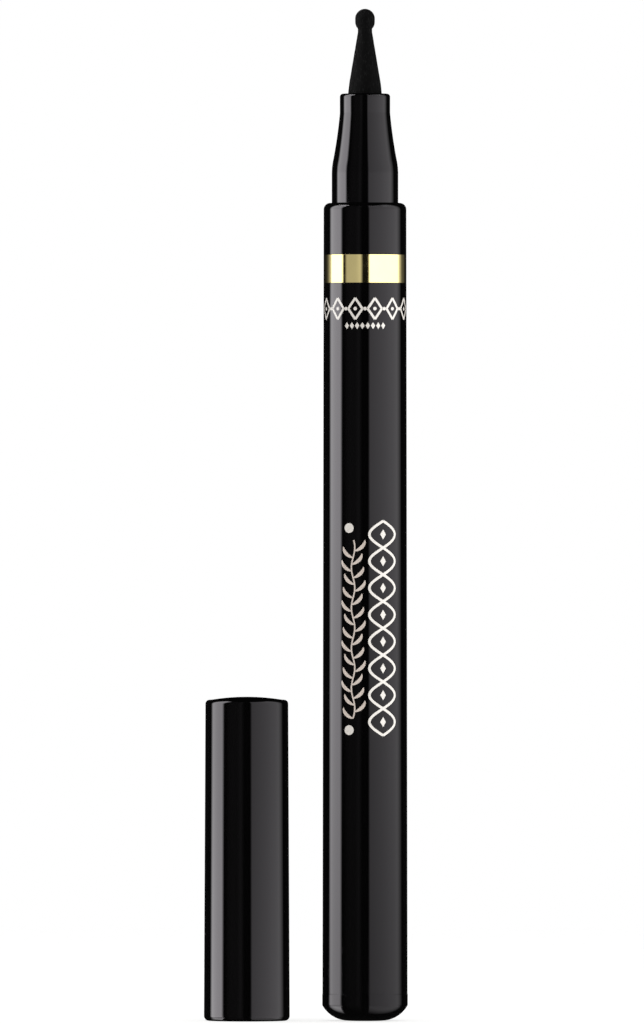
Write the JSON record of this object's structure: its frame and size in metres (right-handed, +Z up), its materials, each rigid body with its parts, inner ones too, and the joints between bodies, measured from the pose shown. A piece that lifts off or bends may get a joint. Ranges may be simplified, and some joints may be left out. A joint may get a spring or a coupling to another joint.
{
  "type": "liquid eyeliner pen",
  "caption": "Slim gloss-black felt-tip liquid eyeliner pen with a gold foil band and a ball-tipped nib, its cap standing on its mouth beside it.",
  "frame": {"origin": "middle of the flat under the pen's foot, on the pen's axis and on the surface that it stands on", "axes": "+Z up along the pen's axis to the tip of the nib; the cap stands on the -X side; -Y faces the viewer of the picture"},
  "size_m": [0.0252, 0.0106, 0.125],
  "materials": {
    "black_gloss": "polished black moulding",
    "gold_foil": "bright gold hot foil",
    "pale_print": "cream screen-printed ink on the barrel",
    "black_felt": "bonded fibre soaked with black ink",
    "white_liner": "satin natural moulding",
    "ink_fibre": "fibre wadding soaked with black ink",
    "clear_film": "thin clear film"
  },
  "bodies": {
    "pen": {"barrel": "black_gloss", "foil_band": "gold_foil", "end_plug": "black_gloss", "nose_section": "black_gloss", "nib": "black_felt", "nib_holder": "white_liner", "reservoir_core": "ink_fibre", "reservoir_wrap": "clear_film"},
    "cap": {"cap_shell": "black_gloss", "inner_cap": "white_liner"}
  },
  "joints": [
    {"name": "cap_lift", "type": "slide", "parent": "pen", "child": "cap", "axis": [0, 0, 1], "range_m": [0, 0.0255]}
  ]
}
